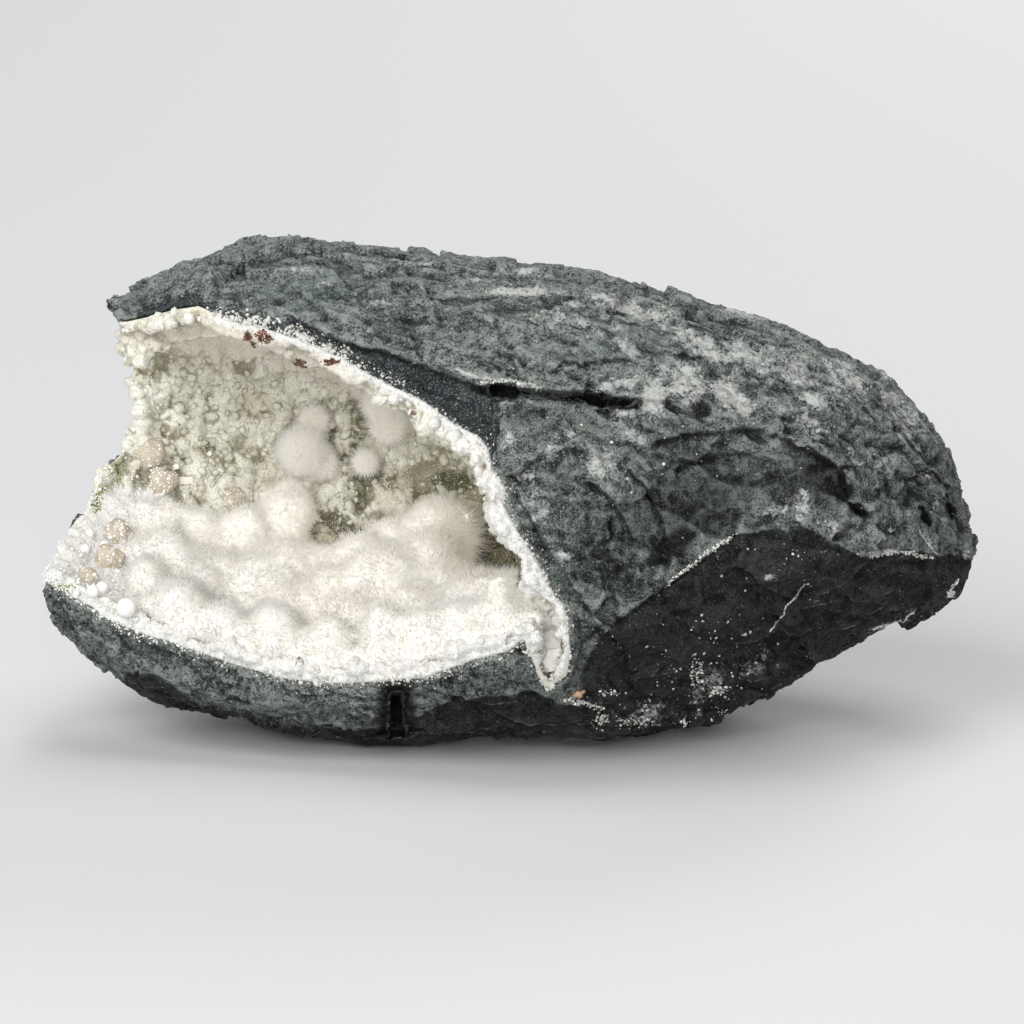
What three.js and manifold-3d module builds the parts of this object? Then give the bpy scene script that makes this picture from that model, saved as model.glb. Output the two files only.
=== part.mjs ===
// A broken basalt nodule whose vug is lined with druse and filled with okenite puffballs.
//
// Every piece is drawn square to the broken face: X runs along the nodule, Y up the face and
// Z out of it, in millimetres. The finished specimen then leans back onto its flat base.
import * as THREE from 'three';
import { ImprovedNoise } from 'three/addons/math/ImprovedNoise.js';
import { mergeVertices } from 'three/addons/utils/BufferGeometryUtils.js';
import Module from 'manifold-3d';

const LEAN = THREE.MathUtils.degToRad(14);
const BASE_CUT = 1.3; // how far the resting plane lies above the lowest point of the face view
const FAR = 400; // longer than anything in the specimen
const SEAM = 0.3; // the gap left between two pieces that touch
const SHARPEST_MITRE = 0.7; // how far a shrunk outline's corners may run in, as a cosine
const LINING_THICKNESS = 2.5;

// Cross-sections along the nodule: [x, top, bottom, front, back]. The ends are points.
const NODULE_SECTIONS = [
  [-104, 55, 55, 0, 0],
  [-90, 87.4, 23.2, 20, -22],
  [-80, 91.8, 15.8, 25, -28],
  [-70, 97.2, 10.8, 30, -33],
  [-56, 101.2, 7.2, 34, -38],
  [-42, 102.8, 3.4, 38, -41],
  [-28, 101.2, 0.4, 40, -43],
  [-14, 100.2, 1, 42, -44],
  [0, 98.4, 3, 43, -45],
  [14, 97.4, 2.4, 43, -45],
  [28, 94.2, 3.4, 43, -45],
  [42, 89.6, 5.6, 41, -43],
  [56, 86, 13.4, 38, -40],
  [68, 81.4, 20.4, 32, -34],
  [78, 74.4, 25.2, 26, -28],
  [86, 64.8, 28, 18, -20],
  [91, 53.4, 32.4, 10, -12],
  [93.5, 42, 42, 0, 0],
];
const NODULE_SQUARENESS = 2.4;
const NODULE_FACETS = { around: 32, along: 26 };
const ROUGHNESS = 0.7;
const ROUGHNESS_WAVELENGTH = 11;

// Flat breaks on the outside, each by three points, counter-clockwise as seen from outside.
const SPLIT_FACE = [[-2, 75, 40.3], [-90, 75, 16.5], [-2, 20, 35.3]];
const FRONT_FACET = [[10, 50, 42], [66, 50, 32], [40, 66, 38]];
const LOWER_FACET = [[45.7, 42.4, 35], [18.7, 20.4, 37.9], [42, 5.6, 5]];
const END_FACET = [[50.7, 35.4, 33.6], [72, 20.6, 3], [88, 37.4, 14]];
// Flats knocked off the back: the way each one faces, and how deep it goes.
const BACK_FLATS = [
  { facing: [0.35, 0.75, -0.56], depth: 3.5 },
  { facing: [0.45, 0.05, -0.89], depth: 3 },
  { facing: [-0.35, -0.2, -0.92], depth: 2.5 },
];

// The vug, in sections like the nodule's. It runs out past the nodule's left end.
const VUG_SECTIONS = [
  [-110, 55, 55, 0, 0],
  [-80, 86, 27, 32, -16],
  [-60, 91, 19, 42, -22],
  [-40, 90, 14, 46, -26],
  [-20, 81, 14, 48, -27],
  [0, 66, 17, 36, -22],
  [12, 55, 27, 26, -12],
  [20, 42, 42, 4, 4],
];
const VUG_SQUARENESS = 2.1;
const VUG_FACETS = { around: 24, along: 20 };
const VUG_TIP = 0.35; // how far the floor comes forward, and the roof goes back, per height

// The mouth of the vug in the split face, clockwise from its lower left corner.
const MOUTH = [
  [-101, 30], [-91.3, 29.8], [-82.3, 27.4], [-71.3, 23], [-61.3, 20.8], [-51.3, 17.6],
  [-41.3, 15.2], [-32.3, 14.8], [-22.3, 16.8], [-13.3, 17.6], [-5.3, 19], [0.3, 20.4],
  [3.1, 22.8], [11.7, 26.4], [9.1, 32.4], [5.7, 38.8], [2.7, 43.4], [-0.7, 49.4],
  [-0.1, 52.4], [-2.7, 56.4], [-3.5, 60.4], [-5.3, 62.8], [-10.3, 65.4], [-16.3, 70],
  [-22.3, 72.8], [-27.3, 75.4], [-32.3, 78.4], [-41.3, 82.4], [-48.9, 84.8], [-56.3, 86.4],
  [-61.3, 89.4], [-66.3, 88.8], [-71.3, 87.4], [-76.3, 86.4], [-81.3, 86.8], [-101, 87],
];
const MOUTH_BACK = 14;
// A small pocket that opens off the mouth's lower right corner, with a thinner lining.
const POCKET = [
  [3, 25], [4.9, 18.5], [7.7, 12.2], [12.3, 15.4], [13.1, 20.4], [11.2, 30], [5, 33],
];
const POCKET_BACK = 22;
const POCKET_LINING_SHARE = 0.65;
// The broken left edge of the vug's back wall: everything to the left of it is gone.
const LOST_EDGE = [
  [-81.7, 91], [-79.7, 88.8], [-77.9, 86.4], [-76.3, 78.4], [-74.5, 70], [-75.1, 64.4],
  [-76.9, 61.6], [-81.9, 56.4], [-83.7, 52.4], [-85.7, 47.8], [-89.3, 43.4],
  [-92.3, 34.4], [-93.3, 30.8], [-92.3, 26.8],
];

const CRACK = [
  [-6, 73.2], [4, 72.2], [10, 71.2], [14, 72], [20, 70.8], [27, 70.4], [27, 69.6],
  [20, 69.4], [10, 69.8], [4, 70.6], [-6, 72.6],
];
const CRACK_BOTTOM = 34;
const CLEFT = [[-23.7, -5], [-20.3, -5], [-22, 15.5]];
const CLEFT_BOTTOM = 12;

// The mat of okenite over the vug's floor, as an outline in the face view.
const MAT = [
  [-75, 48], [-57, 47], [-51, 50], [-41, 51], [-35, 44], [-27, 42], [-21, 47], [-13, 51],
  [-5, 47], [-1, 37], [6, 34], [9, 26], [9, 10], [-72, 10], [-74, 31], [-66, 37], [-58, 42],
  [-75, 43],
];
const MAT_THICKNESS = 3.2;
const MAT_FRONT_GAP = 3; // how far the mat stays behind the split face

// Puffballs: [x, height, depth, radius]. Balls in one list have grown together.
const BALL_FACETS = { around: 8, along: 5 };
const FLOOR_BALLS = [
  [-73.3, 47.4, -9.5, 3.6], [-68.3, 45.4, -9.5, 4.8], [-62.3, 44.8, -11, 4.8],
  [-52.8, 44.2, -12, 5.6], [-44.3, 46.4, -16, 6], [-44.3, 50.8, -19.5, 4.4],
  [-50.3, 55.6, -19.5, 4.4], [-23.7, 41.4, -16, 5.6], [-14.3, 44, -17, 7.2],
  [-63.3, 38.4, -6, 4], [-58.3, 35.4, -3.5, 5], [-44.3, 35.4, -7, 6.8], [-35.3, 30.4, 0, 7],
  [-25.3, 32, -1, 10], [-13.3, 30.4, 0, 8], [-3.3, 32, -4, 6.8], [-41.3, 28.4, 2, 6],
  [-73.3, 32.8, 4, 3.2], [-65.7, 28.4, 9, 6.6], [-55.7, 24.8, 11, 4], [-47.3, 24, 11, 5.4],
  [-36.3, 20.8, 14, 4], [-24.3, 23.4, 12, 5.6], [-10.3, 24, 11, 5], [2.7, 28, 6, 5.2],
  [6.7, 30.4, 4, 4],
];
const WALL_BALLS = [[-39.3, 66.8, -23.5, 3.4], [-41.9, 60.4, -21, 5.2], [-37.7, 58, -23, 3.6]];
const ROOF_BALLS = [[-26, 70.5, -20, 3.8], [-24, 66, -21.5, 4.2]];
const LONE_BALL = [[-28.9, 58.2, -24.5, 2.8]];

// Small single pieces on the lining: [x, height, depth, radius].
const GYROLITE_CAPS = [
  [-78.9, 43.6, -6.3, 2.4], [-80.3, 37.8, -0.3, 2.4], [-84.5, 34.4, 7.4, 1.8],
  [-72.7, 60, -16.2, 2.4], [-70, 54, -15.2, 2.6], [-56, 50.6, -18.1, 2],
];
const OKENITE_BUDS = [
  [-84.3, 43.6, -4, 1], [-85.1, 40.4, -0.7, 1.1], [-81.3, 41.2, -3.2, 1],
  [-81.3, 32.4, 9.7, 1.4], [-83.1, 31.4, 15.4, 1.6], [-76.3, 28, 17.2, 2.2],
];
// Blocky crystals: centre, size and turn about the way out of the face.
const APOPHYLLITE_BLOCKS = [
  { at: [-67.3, 57.2, -16.9], size: [1.2, 1.1, 1.6], turn: 0.25 },
  { at: [-65.2, 54.4, -16.6], size: [2.8, 1.6, 1.8], turn: 0.05 },
  { at: [-60.9, 59.6, -19.7], size: [1.9, 0.9, 1.6], turn: 0.75 },
  { at: [-55.7, 55.8, -20.1], size: [1.8, 0.9, 1.6], turn: 0.2 },
];
const POCKET_BLOCKS = [
  { at: [8.4, 22, 26.5], size: [5, 4.5, 5], turn: 0.5 },
  { at: [9.2, 18.5, 27.5], size: [4, 4.4, 5], turn: 0.15 },
];

const basalt = new THREE.MeshStandardMaterial({ color: 0x454d4a, roughness: 0.85, metalness: 0 });
const druse = new THREE.MeshStandardMaterial({ color: 0xd2cfb8, roughness: 0.7, metalness: 0 });
const okenite = new THREE.MeshStandardMaterial({ color: 0xf3f0ea, roughness: 0.9, metalness: 0 });
const gyrolite = new THREE.MeshStandardMaterial({ color: 0xc9b79c, roughness: 0.45, metalness: 0 });
const apophyllite = new THREE.MeshStandardMaterial({ color: 0xf4f2ec, roughness: 0.3, metalness: 0 });

const wasm = await Module();
wasm.setup();

// A closed geometry as a manifold-3d solid.
function solid(geometry) {
  geometry.deleteAttribute('normal');
  geometry.deleteAttribute('uv');
  const merged = mergeVertices(geometry);
  return new wasm.Manifold(new wasm.Mesh({
    numProp: 3,
    vertProperties: merged.attributes.position.array,
    triVerts: Uint32Array.from(merged.index.array),
  }));
}

// A solid as a named mesh.
function piece(name, body, material) {
  const { vertProperties, triVerts } = body.getMesh();
  const geometry = new THREE.BufferGeometry();
  geometry.setAttribute('position', new THREE.BufferAttribute(vertProperties, 3));
  geometry.setIndex(new THREE.BufferAttribute(triVerts, 1));
  geometry.computeVertexNormals();
  const mesh = new THREE.Mesh(geometry, material);
  mesh.name = name;
  return mesh;
}

// A rounded body through cross-sections along X. An inset shrinks it evenly on all sides.
// A tip moves its lower half forward and its upper half back.
function loft(sections, squareness, { around, along, inset = 0, roughness = 0, tip = 0 }) {
  const middle = (sections[0][0] + sections.at(-1)[0]) / 2;
  const reach = sections.at(-1)[0] - middle;
  const turns = sections.map(([x]) => Math.acos((middle - x) / reach));
  const outline = new THREE.CubicInterpolant(turns, sections.flatMap((row) => row.slice(1)), 4);
  const noise = new ImprovedNoise();
  const geometry = new THREE.SphereGeometry(1, around, along);
  geometry.rotateZ(Math.PI / 2);
  const points = geometry.attributes.position;
  const way = new THREE.Vector3();
  for (let i = 0; i < points.count; i++) {
    way.fromBufferAttribute(points, i);
    const [top, bottom, front, back] = outline.evaluate(Math.acos(-way.x));
    const ring = Math.hypot(way.y, way.z);
    const up = ring ? way.y / ring : 0;
    const out = ring ? way.z / ring : 1;
    const height = (top - bottom) / 2 - inset * ring;
    const depth = (front - back) / 2 - inset * ring;
    const span = (Math.abs(up) ** squareness + Math.abs(out) ** squareness) ** (-1 / squareness);
    way.set(
      middle + (reach - inset) * way.x,
      (top + bottom) / 2 + up * span * height,
      (front + back) / 2 + out * span * depth - tip * up * span * height,
    );
    const grain = roughness * noise.noise(
      way.x / ROUGHNESS_WAVELENGTH,
      way.y / ROUGHNESS_WAVELENGTH,
      way.z / ROUGHNESS_WAVELENGTH,
    );
    points.setXYZ(i, way.x, way.y + up * grain, way.z + out * grain);
  }
  return solid(geometry);
}

// A prism that stands out of the face, over an outline.
function prism(outline, from, to) {
  const shape = new THREE.Shape(outline.map(([x, y]) => new THREE.Vector2(x, y)));
  const geometry = new THREE.ExtrudeGeometry(shape, { depth: to - from, bevelEnabled: false });
  geometry.translate(0, 0, from);
  return solid(geometry);
}

// An outline moved inwards by a distance, corner by corner.
function shrink(outline, distance) {
  const area = THREE.ShapeUtils.area(outline.map(([x, y]) => new THREE.Vector2(x, y)));
  const side = Math.sign(area) * distance;
  return outline.map(([x, y], i) => {
    const [beforeX, beforeY] = outline.at(i - 1);
    const [afterX, afterY] = outline[(i + 1) % outline.length];
    const before = new THREE.Vector2(x - beforeX, y - beforeY).normalize();
    const after = new THREE.Vector2(afterX - x, afterY - y).normalize();
    const inward = new THREE.Vector2(-before.y - after.y, before.x + after.x).normalize();
    const mitre = Math.max(SHARPEST_MITRE, before.dot(new THREE.Vector2(inward.y, -inward.x)));
    return [x + inward.x * side / mitre, y + inward.y * side / mitre];
  });
}

// The big block outside a flat face. The face starts at the first point and runs towards the
// second, or runs both ways when it is endless.
function blockBeyond([a, b, c], endless = true) {
  const [start, along, third] = [a, b, c].map((point) => new THREE.Vector3(...point));
  const facing = new THREE.Vector3().subVectors(along, start)
    .cross(new THREE.Vector3().subVectors(third, start));
  const axisX = along.sub(start).normalize();
  const axisZ = facing.normalize();
  const axisY = new THREE.Vector3().crossVectors(axisZ, axisX);
  const block = new THREE.BoxGeometry(FAR, FAR, FAR);
  block.translate(endless ? 0 : FAR / 2, 0, FAR / 2);
  block.applyMatrix4(new THREE.Matrix4().makeBasis(axisX, axisY, axisZ).setPosition(start));
  return solid(block);
}

// A block that takes a flat of a given depth off the outermost point of a body.
function flatOff(body, { facing, depth }) {
  const way = new THREE.Vector3(...facing).normalize();
  const { vertProperties } = body.getMesh();
  let reach = 0;
  for (let i = 0; i < vertProperties.length; i += 3) {
    reach = Math.max(reach, way.dot(new THREE.Vector3().fromArray(vertProperties, i)));
  }
  const block = new THREE.BoxGeometry(FAR, FAR, FAR);
  block.translate(0, 0, FAR / 2 + reach - depth);
  block.applyQuaternion(new THREE.Quaternion().setFromUnitVectors(new THREE.Vector3(0, 0, 1), way));
  return solid(block);
}

// The vug without its mouth, shrunk evenly by an inset.
function vug(inset) {
  return loft(VUG_SECTIONS, VUG_SQUARENESS, { ...VUG_FACETS, inset, tip: VUG_TIP });
}

// The vug with its mouth and pocket, shrunk evenly by an inset.
function hollow(inset) {
  return vug(inset)
    .add(prism(shrink(MOUTH, inset), MOUTH_BACK + inset, FAR))
    .add(prism(shrink(POCKET, inset * POCKET_LINING_SHARE), POCKET_BACK + inset, FAR));
}

// The nodule with its breaks, before the vug is taken out of it.
function brokenNodule() {
  const whole = loft(NODULE_SECTIONS, NODULE_SQUARENESS, { ...NODULE_FACETS, roughness: ROUGHNESS });
  const lost = [...LOST_EDGE, [-FAR, LOST_EDGE.at(-1)[1]], [-FAR, LOST_EDGE[0][1]]];
  const base = new THREE.BoxGeometry(FAR, FAR, FAR);
  base.translate(0, 0, BASE_CUT - FAR / 2);
  base.rotateX(LEAN - Math.PI / 2);
  let nodule = whole
    .subtract(blockBeyond(SPLIT_FACE, false))
    .subtract(blockBeyond(FRONT_FACET))
    .subtract(blockBeyond(LOWER_FACET, false))
    .subtract(blockBeyond(END_FACET))
    .subtract(prism(lost, -FAR, FAR))
    .subtract(solid(base));
  for (const flat of BACK_FLATS) {
    nodule = nodule.subtract(flatOff(whole, flat));
  }
  return nodule;
}

// A puffball, or several that have grown together.
function puffballs(balls) {
  return balls.map(([x, height, depth, radius]) => {
    const ball = new THREE.SphereGeometry(radius, BALL_FACETS.around, BALL_FACETS.along);
    ball.translate(x, height, depth);
    return solid(ball);
  }).reduce((grown, ball) => grown.add(ball));
}

// The mat: a layer of the vug's wall, inside the mat's outline and behind the split face.
function mat(inset) {
  const front = SPLIT_FACE.map(([x, y, z]) => [x, y, z - MAT_FRONT_GAP]);
  return vug(inset)
    .intersect(prism(MAT, -FAR, FAR))
    .subtract(vug(inset + MAT_THICKNESS))
    .subtract(blockBeyond(front));
}

// Blocky crystals, grown together when there are several.
function blocks(list) {
  return list.map(({ at, size, turn }) => {
    const block = new THREE.BoxGeometry(...size);
    block.rotateZ(turn);
    block.translate(...at);
    return solid(block);
  }).reduce((grown, block) => grown.add(block));
}

const nodule = brokenNodule();
const roomInset = SEAM + LINING_THICKNESS + SEAM;
const room = hollow(roomInset);

const rock = nodule
  .subtract(hollow(0))
  .subtract(prism(CRACK, CRACK_BOTTOM, FAR))
  .subtract(prism(CLEFT, CLEFT_BOTTOM, FAR));
const lining = hollow(SEAM).intersect(nodule).subtract(hollow(SEAM + LINING_THICKNESS));
const floorMass = puffballs(FLOOR_BALLS).intersect(room).add(mat(roomInset));

const specimen = new THREE.Group();
specimen.rotation.x = Math.PI / 2 - LEAN;
specimen.add(piece('basalt_nodule', rock, basalt));
specimen.add(piece('druse_lining', lining, druse));
specimen.add(piece('okenite_floor_mass', floorMass, okenite));
specimen.add(piece('okenite_wall_cluster', puffballs(WALL_BALLS).intersect(room), okenite));
specimen.add(piece('okenite_roof_puff', puffballs(ROOF_BALLS).intersect(room), okenite));
specimen.add(piece('okenite_lone_puff', puffballs(LONE_BALL).intersect(room), okenite));
OKENITE_BUDS.forEach((bud, i) => {
  specimen.add(piece(`okenite_bud_${i + 1}`, puffballs([bud]).intersect(room), okenite));
});
GYROLITE_CAPS.forEach((cap, i) => {
  specimen.add(piece(`gyrolite_cap_${i + 1}`, puffballs([cap]).intersect(room), gyrolite));
});
APOPHYLLITE_BLOCKS.forEach((block, i) => {
  specimen.add(piece(`apophyllite_block_${i + 1}`, blocks([block]).intersect(room), apophyllite));
});
specimen.add(piece('pocket_crystals', blocks(POCKET_BLOCKS).intersect(room), apophyllite));

const part = new THREE.Group();
part.add(specimen);
const box = new THREE.Box3().setFromObject(part, true);
specimen.position.set(-(box.min.x + box.max.x) / 2, -(box.min.y + box.max.y) / 2, -box.min.z);

export default part;
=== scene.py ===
import math

import bmesh
import bpy
import numpy as np
from mathutils import Euler, Matrix, Vector, noise
from mathutils.bvhtree import BVHTree


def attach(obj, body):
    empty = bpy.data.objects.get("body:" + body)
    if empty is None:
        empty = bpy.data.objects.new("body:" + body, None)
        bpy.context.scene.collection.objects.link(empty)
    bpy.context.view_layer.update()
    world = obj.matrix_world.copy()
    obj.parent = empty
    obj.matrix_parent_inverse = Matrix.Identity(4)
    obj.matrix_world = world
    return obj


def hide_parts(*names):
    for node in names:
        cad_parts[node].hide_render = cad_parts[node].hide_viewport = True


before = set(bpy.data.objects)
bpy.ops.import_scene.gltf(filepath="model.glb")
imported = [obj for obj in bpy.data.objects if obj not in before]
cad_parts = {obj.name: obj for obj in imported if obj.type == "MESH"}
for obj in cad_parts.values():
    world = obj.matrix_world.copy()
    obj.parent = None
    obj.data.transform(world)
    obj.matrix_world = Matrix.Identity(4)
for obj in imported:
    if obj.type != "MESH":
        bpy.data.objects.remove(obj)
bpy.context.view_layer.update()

MM = 0.001


# -------------------------------- basalt nodule
# A lump of fine grey-green basalt, broken across its front left so that the vug shows. The
# breaks are chipped and stepped, the skin carries a white zeolite bloom, and a darker chilled
# band runs along the top of the vug's mouth.

# Shapes on the broken face are drawn in millimetres: x along the nodule, y up the face and z
# out of it. The face leans back, and FOOT is where the drawing's corner stands in the frame.
LEAN = math.radians(14)
FOOT = np.array([-0.1, -13.21, -1.3])
TURN = np.array(Euler((math.pi / 2 - LEAN, 0, 0)).to_matrix())


def from_face(points):
    """Places points of the face drawing in the frame, in metres."""
    return (np.asarray(points, float) @ TURN.T + FOOT) * MM


def to_face(points):
    """Turns points of the frame, in metres, into the face drawing."""
    return (np.asarray(points, float) / MM - FOOT) @ TURN


def gather(rows, name, kind):
    """Reads three numbers for each row of a mesh's vertices, normals or triangles."""
    found = np.empty(len(rows) * 3, kind)
    rows.foreach_get(name, found)
    return found.reshape(-1, 3)


def places(piece):
    return gather(piece.data.vertices, "co", np.float32).astype(float)


def normals(piece):
    return gather(piece.data.vertex_normals, "vector", np.float32).astype(float)


def move(piece, points):
    piece.data.vertices.foreach_set("co", np.asarray(points, np.float32).ravel())
    piece.data.update()


def push(piece, lift):
    """Moves each vertex outward by its own lift, in millimetres, and gives the new places."""
    at = places(piece) + normals(piece) * lift[:, None] * MM
    move(piece, at)
    return at


def linked(name, data):
    """Puts an object into the scene."""
    made = bpy.data.objects.new(name, data)
    bpy.context.collection.objects.link(made)
    return made


def built(name, shape):
    """Turns a drawn shape into a piece."""
    mesh = bpy.data.meshes.new(name)
    shape.to_mesh(mesh)
    shape.free()
    return linked(name, mesh)


def merged_copy(node, name):
    """A new piece with a CAD node's shape, its loose triangles merged."""
    shell = bmesh.new()
    shell.from_mesh(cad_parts[node].data)
    bmesh.ops.remove_doubles(shell, verts=shell.verts, dist=0.001 * MM)
    return built(name, shell)


def work(piece, kind, **settings):
    """Runs one modifier over a piece and keeps the result."""
    modifier = piece.modifiers.new(kind, kind)
    for name, value in settings.items():
        setattr(modifier, name, value)
    worked = piece.evaluated_get(bpy.context.evaluated_depsgraph_get())
    kept = bpy.data.meshes.new_from_object(worked)
    piece.modifiers.clear()
    piece.data = kept


def even_out(piece, voxel, rounds):
    """Rebuilds a piece as an even mesh and rounds it off."""
    work(piece, "REMESH", mode="VOXEL", voxel_size=voxel)
    work(piece, "SMOOTH", factor=0.5, iterations=rounds)


def thin(piece, triangles):
    """Brings a piece down to a number of triangles, fewest where it is flat."""
    work(piece, "TRIANGULATE")
    if len(piece.data.polygons) > triangles:
        work(piece, "DECIMATE", ratio=triangles / len(piece.data.polygons))
    piece.data.shade_smooth()


def surface(piece):
    """A search tree over a piece's faces."""
    mesh = piece.data
    return BVHTree.FromPolygons(
        [v.co[:] for v in mesh.vertices], [p.vertices[:] for p in mesh.polygons])


def gap_to(tree, points):
    """How far each point is from a surface, in millimetres."""
    return np.array([tree.find_nearest(p)[3] for p in points.tolist()]) / MM


def ramp(values, low, high):
    """0 below low, 1 above high and a smooth rise between."""
    share = np.clip((values - low) / (high - low), 0, 1)
    return share * share * (3 - 2 * share)


def cloud(points, size, octaves, seed=0.0):
    """Soft random relief from -1 to 1, with lumps of about a size."""
    return np.array([noise.fractal(p, 1.0, 2.0, octaves) for p in (points / size + seed).tolist()])


def clouds(points, size, octaves, seeds):
    """The same along several axes at once, with a seed for each."""
    return np.stack([cloud(points, size, octaves, seed) for seed in seeds], 1)


def chips(points, size, seed):
    """Flat chips: each cell of the stone breaks along a plane of its own."""
    lift = []
    for point in (points / size + seed).tolist():
        cell = noise.voronoi(point)[1][0]
        tilt = 2 * noise.cell_vector(cell * 7.3) - Vector((1, 1, 1))
        lift.append((Vector(point) - cell).dot(tilt))
    return np.clip(lift, -0.5, 0.5)


def patch(points, x, y, wide, high, turn=0.0):
    """1 in the middle of an oval on the face drawing, 0 at its edge and below 0 outside."""
    c, s = math.cos(math.radians(turn)), math.sin(math.radians(turn))
    dx, dy = points[:, 0] - x, points[:, 1] - y
    return 1 - np.hypot((dx * c + dy * s) / wide, (dy * c - dx * s) / high)


def under(face, line):
    """How far each point of the face drawing lies under a line."""
    return np.interp(face[:, 0], *np.array(line, float).T) - face[:, 1]


def paint(piece, name, values):
    """Stores one number a vertex, for the material to read."""
    values = np.asarray(values, np.float32)
    piece.data.attributes.new(name, "FLOAT", "POINT").data.foreach_set("value", values)


ROCK_VOXEL = 0.48 * MM
ROCK_TRIANGLES = 195_000
BED_TILT = math.radians(-17)     # the stone parts along beds that dip to the right
BED_STRETCH = np.array([1 / 2.6, 1.0, 1 / 1.4])

# Lines on the face: along the top of the chilled band, and along the top of the break's
# underside, which is painted in shade.
BAND_TOP = [
    (-74, 93), (-58, 92), (-47, 88.6), (-42, 86.5), (-33, 82.4), (-21, 78.8), (-13, 75.4),
    (-5.5, 73.2), (-2.4, 72.6),
]
DARK_TOP = [
    (12, 6), (13.7, 12.4), (16.7, 20.4), (21.6, 26.6), (31.9, 33.4), (45.7, 43.6), (53.5, 44.6),
    (61, 44.6), (66, 41.6), (71.3, 39), (80, 40), (86, 38.8), (89.2, 39.6), (95, 38.4),
]
# The two lines under which the stone is undercut, left and right of the cleft.
UNDERCUTS = [
    [(-82, 12), (-76, 15.8), (-70.7, 16.2), (-66.9, 13.8), (-61.5, 9.6), (-54.5, 6.6), (-45, 5.4),
     (-30, 4.4), (-20, 4)],
    [(-19, 5.6), (-12, 10), (-4.3, 11.8), (5.9, 12), (14.3, 8.8), (27, 7)],
]
# Ledges: the line along the top of each step, how deep it steps in and how far below the
# line the stone comes back out.
LEDGES = [
    (UNDERCUTS[0], 2.2, 8), (UNDERCUTS[1], 2.2, 8), (BAND_TOP[3:], 2.0, 30),
    ([(-5.3, 73), (0.9, 72.7), (8, 71.9), (16, 70.3), (21, 69.7), (26.7, 70.4)], 2.6, 2.2),
    ([(-7.3, 80), (-1.7, 77.6), (4.5, 73.6), (7, 72.6)], 0.8, 4),
    ([(9.8, 76), (11.4, 78), (14.8, 77.4), (21, 78.2), (25, 77.6)], 1.3, 3),
    ([(16, 54.2), (19.4, 52.4), (23.4, 47), (25, 43)], 1.6, 8),
    ([(22, 58), (27, 54), (31, 47), (32.4, 41)], 1.3, 7),
    ([(30, 62), (35, 63.6), (42, 64.2), (51, 64.4)], 1.5, 7),
    ([(34, 57), (40, 59.6), (48, 60), (54, 58)], 1.1, 5),
    ([(55.9, 62.6), (61.5, 60.4), (63.7, 59), (67.9, 55.4), (68.3, 50.4), (72, 48)], 3.4, 5),
    ([(26, 70.6), (31, 70.2), (34, 69.2), (40, 66)], 1.2, 5),
    ([(2, 52), (5, 47), (10, 38), (15, 31), (18, 26)], 1.0, 5),
    (DARK_TOP[3:7], 1.5, 9),
    (DARK_TOP[8:], 2.4, 7),
    ([(48, 34), (56, 36), (63, 35), (70, 30)], 1.2, 6),
    ([(-56, 100), (-40, 99), (-24, 98), (-4, 95.8), (14, 94), (30, 90.6)], 0.9, 3),
    ([(-20, 92.6), (0, 91.6), (16, 90.4), (30, 88.6), (44, 84)], 1.0, 4),
    ([(14, 90), (24, 86.6), (34, 84.6), (46, 81)], 1.0, 4),
    ([(20, 84.6), (27, 81.4), (33, 80), (44, 79.4)], 1.0, 4),
    ([(79, 64), (85, 57), (89, 52), (91, 47)], 1.8, 4),
    ([(56, 78), (66, 74), (74, 68), (80, 60)], 1.0, 5),
]
# Hollows: x, y, half width, half height, turn and depth.
HOLLOWS = [
    (83.9, 47, 3.2, 0.9, -62, 3.6), (89.6, 48.6, 2.8, 1.1, -55, 2.2), (66.5, 52.5, 4, 2.6, -35, 2.2),
    (62.7, 56.6, 3.6, 1.6, 20, 1.2), (38.8, 68.4, 2.6, 2.4, 0, 0.9), (70.6, 48.6, 2.2, 1, -50, 1.8),
    (-71.4, 10.2, 10, 2, -12, 1.6), (-22, 5, 4, 12, 0, 2.4), (33, 41, 8, 3, 35, 0.9),
]

rock = merged_copy("basalt_nodule", "basalt_nodule_chipped")
even_out(rock, ROCK_VOXEL, 3)

lining_shape = merged_copy("druse_lining", "lining_shape")
lining_tree = surface(lining_shape)
at = places(rock)
face = to_face(at)
c, s = math.cos(BED_TILT), math.sin(BED_TILT)
bedded = face @ np.array([[c, -s, 0], [s, c, 0], [0, 0, 1]]) * BED_STRETCH
bedded += 1.6 * clouds(face, 13, 2, (3.1, 17.7, 41.3))
middle_chips = chips(bedded, 6.2, 29.5)
small_chips = chips(face, 2.4, 61.0)
relief = (
    0.9 * cloud(face, 30, 2)
    + 2.6 * chips(bedded, 15, 5.5)
    + 1.9 * middle_chips
    + 0.6 * small_chips
    + 0.18 * cloud(face, 2.6, 3, 8.0)
    - 0.5
)
free = ramp(gap_to(lining_tree, at), 0.6, 3) * ramp(at[:, 2] / MM, 0.2, 4)
step = np.zeros(len(at))
under_ledge = np.zeros(len(at))
wander = 0.5 * cloud(face, 2.2, 2, 90.0)
for line, drop, reach in LEDGES:
    left, right = line[0][0], line[-1][0]
    below = under(face, line) + wander
    ends = ramp(face[:, 0], left - 2, left + 1) * (1 - ramp(face[:, 0], right - 1, right + 2))
    step += drop * ends * ramp(below, 0, 0.45) * np.exp(-np.maximum(below, 0) / reach)
    # Painted shadow: a dark line just under each ledge.
    shade = min(1, drop / 2) * ends * ramp(below, 0, 0.3)
    shade *= 1 - ramp(below, 0.3 + 0.2 * drop, 0.9 + 0.5 * drop)
    under_ledge = np.maximum(under_ledge, shade)
ragged = 0.35 * cloud(face, 1.7, 2, 50.0)
for *oval, depth in HOLLOWS:
    step += depth * ramp(patch(face, *oval) + ragged, 0, 0.45)
out = normals(rock)
outward = TURN[:, 2]
facing = ramp(out @ outward, 0.1, 0.5)
shift = out * (relief * free)[:, None] - outward * (step * facing * ramp(free, 0, 0.6))[:, None]
at += shift * MM
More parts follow.
